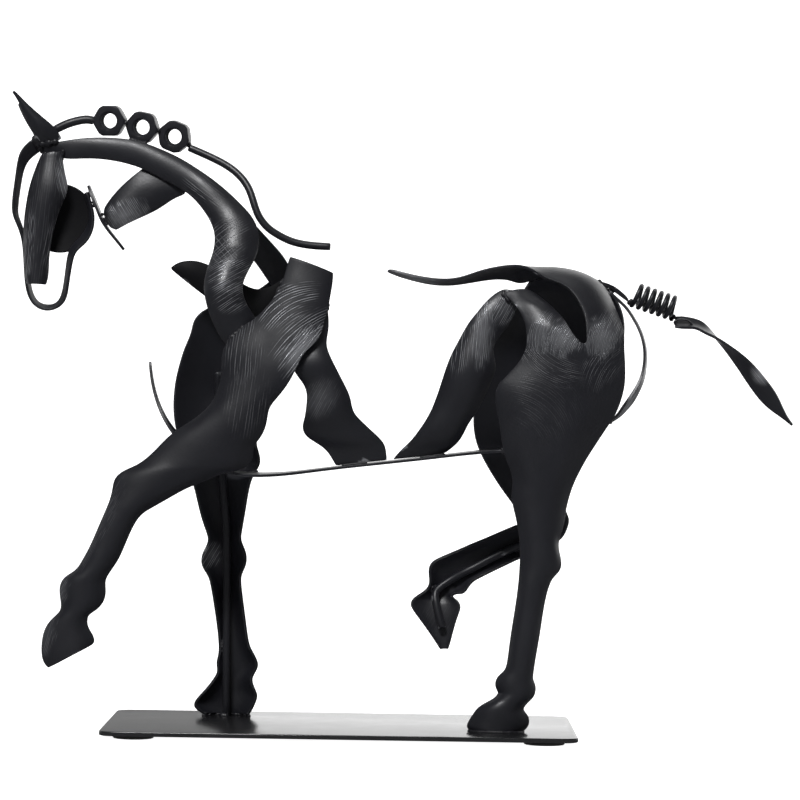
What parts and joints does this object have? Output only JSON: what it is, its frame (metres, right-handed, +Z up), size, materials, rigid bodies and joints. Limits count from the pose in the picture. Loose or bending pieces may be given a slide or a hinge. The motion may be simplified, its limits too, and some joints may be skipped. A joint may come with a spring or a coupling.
{
  "type": "metal horse sculpture",
  "caption": "Prancing horse of cut and welded black sheet steel with nuts for a mane and a spring tail, on a flat base plate.",
  "frame": {"origin": "middle of the whole in plan, at the underside of the pads", "axes": "+X from the head towards the tail, +Y towards the far side of the horse, +Z up"},
  "size_m": [0.2567, 0.08, 0.2074],
  "materials": {
    "near_foreleg_paint": "satin",
    "far_foreleg_paint": "satin",
    "foreleg_rod_paint": "satin",
    "near_hindleg_paint": "satin",
    "far_hindleg_paint": "satin",
    "hindleg_rod_paint": "satin",
    "belly_strip_paint": "satin",
    "front_rib_paint": "satin",
    "rear_rib_paint": "satin",
    "near_neck_paint": "satin",
    "far_neck_paint": "satin",
    "breast_strap_paint": "satin",
    "throat_strip_paint": "satin",
    "throat_blade_paint": "satin",
    "face_plate_paint": "satin",
    "cheek_disc_paint": "satin",
    "head_bar_paint": "satin",
    "near_ear_paint": "satin",
    "far_ear_paint": "satin",
    "mane_rod_front_paint": "satin",
    "mane_nut_1_paint": "satin",
    "mane_nut_2_paint": "satin",
    "mane_nut_3_paint": "satin",
    "mane_rod_back_paint": "satin",
    "tail_root_paint": "satin",
    "tail_spring_paint": "satin",
    "tail_blade_paint": "satin",
    "buttock_strip_paint": "satin",
    "base_plate_paint": "gloss",
    "base_pad_front_near_rubber": "matte",
    "base_pad_front_far_rubber": "matte",
    "base_pad_back_near_rubber": "matte",
    "base_pad_back_far_rubber": "matte"
  },
  "bodies": {
    "root": {"near_foreleg": "near_foreleg_paint", "far_foreleg": "far_foreleg_paint", "foreleg_rod": "foreleg_rod_paint", "near_hindleg": "near_hindleg_paint", "far_hindleg": "far_hindleg_paint", "hindleg_rod": "hindleg_rod_paint", "belly_strip": "belly_strip_paint", "front_rib": "front_rib_paint", "rear_rib": "rear_rib_paint", "near_neck": "near_neck_paint", "far_neck": "far_neck_paint", "breast_strap": "breast_strap_paint", "throat_strip": "throat_strip_paint", "throat_blade": "throat_blade_paint", "face_plate": "face_plate_paint", "cheek_disc": "cheek_disc_paint", "head_bar": "head_bar_paint", "near_ear": "near_ear_paint", "far_ear": "far_ear_paint", "mane_rod_front": "mane_rod_front_paint", "mane_nut_1": "mane_nut_1_paint", "mane_nut_2": "mane_nut_2_paint", "mane_nut_3": "mane_nut_3_paint", "mane_rod_back": "mane_rod_back_paint", "tail_root": "tail_root_paint", "tail_spring": "tail_spring_paint", "tail_blade": "tail_blade_paint", "buttock_strip": "buttock_strip_paint", "base_plate": "base_plate_paint", "base_pad_front_near": "base_pad_front_near_rubber", "base_pad_front_far": "base_pad_front_far_rubber", "base_pad_back_near": "base_pad_back_near_rubber", "base_pad_back_far": "base_pad_back_far_rubber"}
  },
  "joints": []
}
